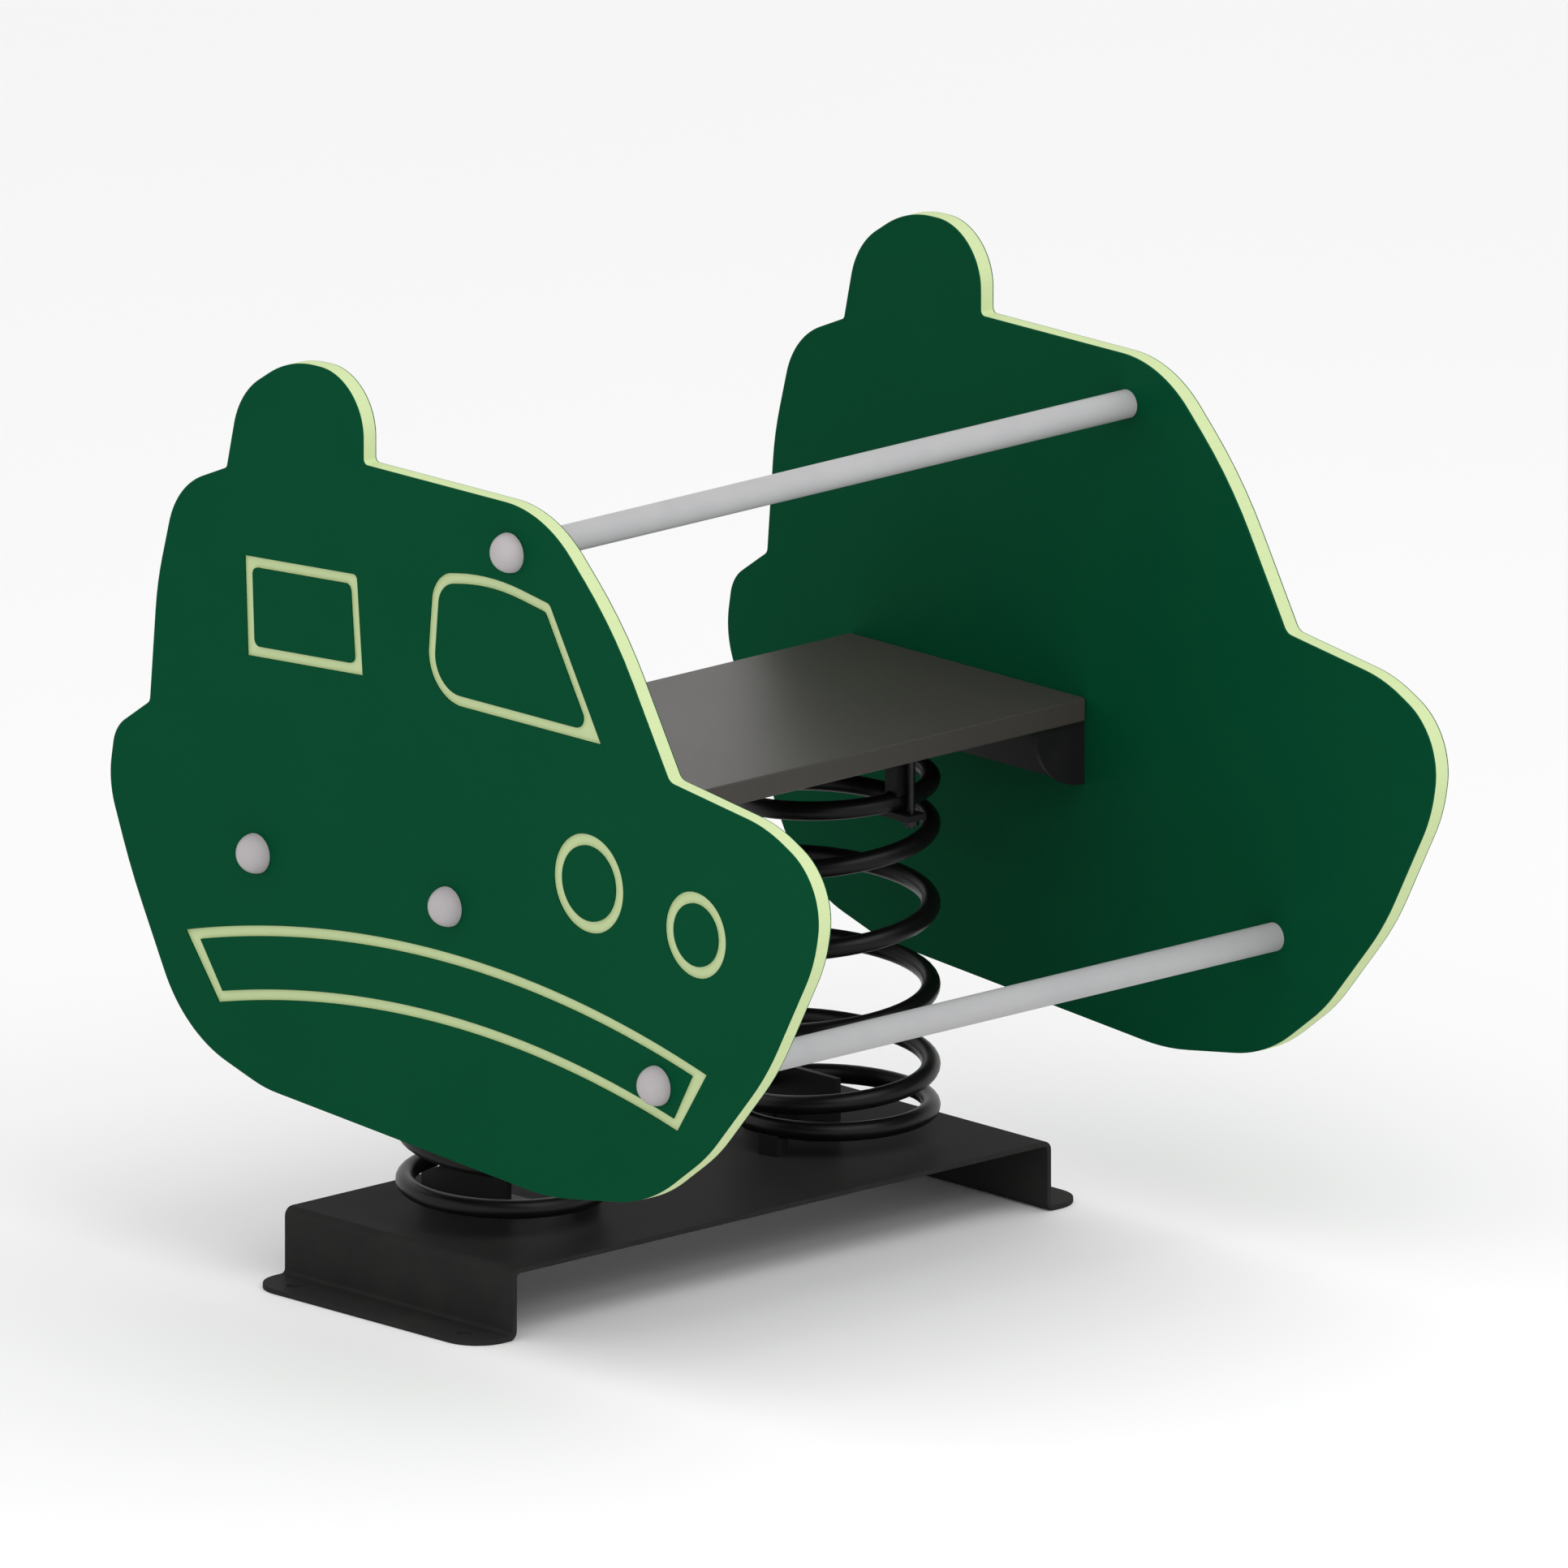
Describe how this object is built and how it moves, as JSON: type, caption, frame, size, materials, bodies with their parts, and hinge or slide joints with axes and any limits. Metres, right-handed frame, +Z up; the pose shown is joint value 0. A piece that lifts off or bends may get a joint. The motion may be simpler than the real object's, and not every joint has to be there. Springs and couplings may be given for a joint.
{
  "type": "spring rocker",
  "caption": "Spring rocker with flat car-shaped side panels, a bench seat, a handrail and a footrest, on two coil springs and a folded steel base.",
  "frame": {"origin": "centre of the four anchor holes, on the ground", "axes": "+X the way the riders face, along the side panels; +Y to their left, along the seat; +Z up"},
  "size_m": [0.9588, 0.836, 0.9036],
  "materials": {
    "black_steel": "semi-gloss black powder coat",
    "black_fasteners": "black zinc plate",
    "spring_steel": "black powder coat",
    "seat_plastic": "textured dark grey",
    "panel_plastic": "dark green skins over a lime core",
    "zinc_fasteners": "zinc plate",
    "grey_tube": "light grey powder coat",
    "cap_plastic": "light grey",
    "cup_plastic": "light grey"
  },
  "bodies": {
    "base": {"base_frame": "black_steel", "lower_anchor_right": "black_steel", "lower_anchor_left": "black_steel", "anchor_screws": "black_fasteners", "anchor_nuts": "black_fasteners", "lower_saddle_right": "black_steel", "lower_saddle_left": "black_steel"},
    "springs": {"spring_right": "spring_steel", "spring_left": "spring_steel"},
    "rider": {"top_plate_right": "black_steel", "top_plate_left": "black_steel", "top_plate_screws": "black_fasteners", "upper_hanger_right": "black_steel", "upper_hanger_left": "black_steel", "upper_saddle_right": "black_steel", "upper_saddle_left": "black_steel", "upper_clamp_right": "black_steel", "upper_clamp_left": "black_steel", "upper_studs": "black_fasteners", "upper_stud_nuts": "black_fasteners", "seat_board": "seat_plastic", "seat_bracket_right": "black_steel", "seat_bracket_left": "black_steel", "seat_screws": "black_fasteners", "side_panel_right": "panel_plastic", "side_panel_left": "panel_plastic", "bracket_bolts": "zinc_fasteners", "bracket_washers": "zinc_fasteners", "bracket_nuts": "zinc_fasteners", "handrail": "grey_tube", "handrail_inserts": "zinc_fasteners", "handrail_bolts": "zinc_fasteners", "footrest": "grey_tube", "footrest_inserts": "zinc_fasteners", "footrest_bolts": "zinc_fasteners", "cap_cups_right": "cup_plastic", "cap_cups_left": "cup_plastic", "dome_caps_right": "cap_plastic", "dome_caps_left": "cap_plastic"}
  },
  "joints": [
    {"name": "bounce", "type": "slide", "parent": "base", "child": "springs", "axis": [0, 0, 1], "range_m": [-0.03, 0.01], "stiffness_N_per_m": 68000, "springref_m": 0.00701, "deforming": ["spring_right", "spring_left"]},
    {"name": "rock", "type": "hinge", "parent": "springs", "child": "rider", "pos_m": [0, 0, 0.25], "axis": [0, 1, 0], "range_deg": [-14, 14], "stiffness_Nm_per_rad": 900, "springref_deg": -1.98, "deforming": ["spring_right", "spring_left"]}
  ]
}
